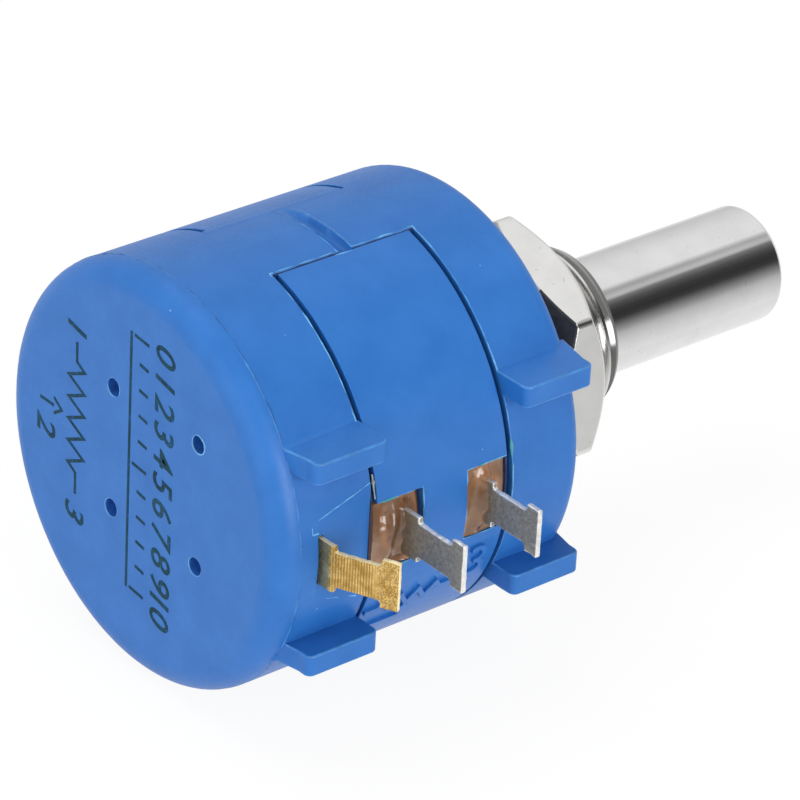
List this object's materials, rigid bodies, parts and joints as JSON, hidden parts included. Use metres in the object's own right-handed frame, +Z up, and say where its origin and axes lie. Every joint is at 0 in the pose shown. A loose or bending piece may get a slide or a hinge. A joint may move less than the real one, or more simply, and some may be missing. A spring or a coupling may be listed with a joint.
{
  "type": "rotary potentiometer",
  "caption": "Multi-turn wirewound potentiometer with a blue moulded housing, threaded panel bushing with nut, round shaft and solder terminals.",
  "frame": {"origin": "centre of the front mounting face, on the shaft axis", "axes": "+X along the shaft towards its tip, -Y the way the solder terminals point, +Z up"},
  "size_m": [0.0406, 0.0267, 0.0222],
  "materials": {
    "blue_cover": "satin moulded blue plastic",
    "blue_sleeve": "satin moulded blue plastic, a little more saturated than the covers",
    "winding": "fine resistance wire wound on an enamelled copper core",
    "tinned": "dull grey tin plating on brass",
    "gold_plate": "gold plating with fine tool marks",
    "resin": "glossy amber brown sealing resin",
    "nickel_brass": "bright nickel plating on brass",
    "shaft_steel": "polished nickel-plated steel",
    "spring_steel": "plain spring steel",
    "bearing_plastic": "natural low-friction plastic"
  },
  "bodies": {
    "housing": {"front_cover": "blue_cover", "rear_cover": "blue_cover", "element_housing": "blue_sleeve", "resistance_element": "winding", "lead_front": "tinned", "lead_rear": "tinned", "terminal_front": "tinned", "terminal_rear": "tinned", "wiper_terminal": "gold_plate", "collector_spring": "gold_plate", "resin_front": "resin", "resin_rear": "resin", "bushing": "nickel_brass", "hex_nut": "nickel_brass", "thrust_washer": "bearing_plastic"},
    "rotor": {"shaft": "shaft_steel", "rotor_hub": "bearing_plastic", "retaining_ring": "spring_steel", "guide_rod": "gold_plate", "collector_ring": "gold_plate"},
    "slider": {"carriage": "bearing_plastic", "wiper_contact": "gold_plate", "wiper_rivet": "tinned"}
  },
  "joints": [
    {"name": "shaft_turn", "type": "hinge", "parent": "housing", "child": "rotor", "pos_m": [0, 0, 0], "axis": [1, 0, 0], "range_deg": [-1800, 1800]},
    {"name": "carriage_travel", "type": "slide", "parent": "rotor", "child": "slider", "axis": [1, 0, 0], "range_m": [-0.0036, 0.0036]}
  ],
  "couplings": [
    {"joint": "carriage_travel", "follows": "shaft_turn", "m_per_rad": 0.00011459}
  ]
}
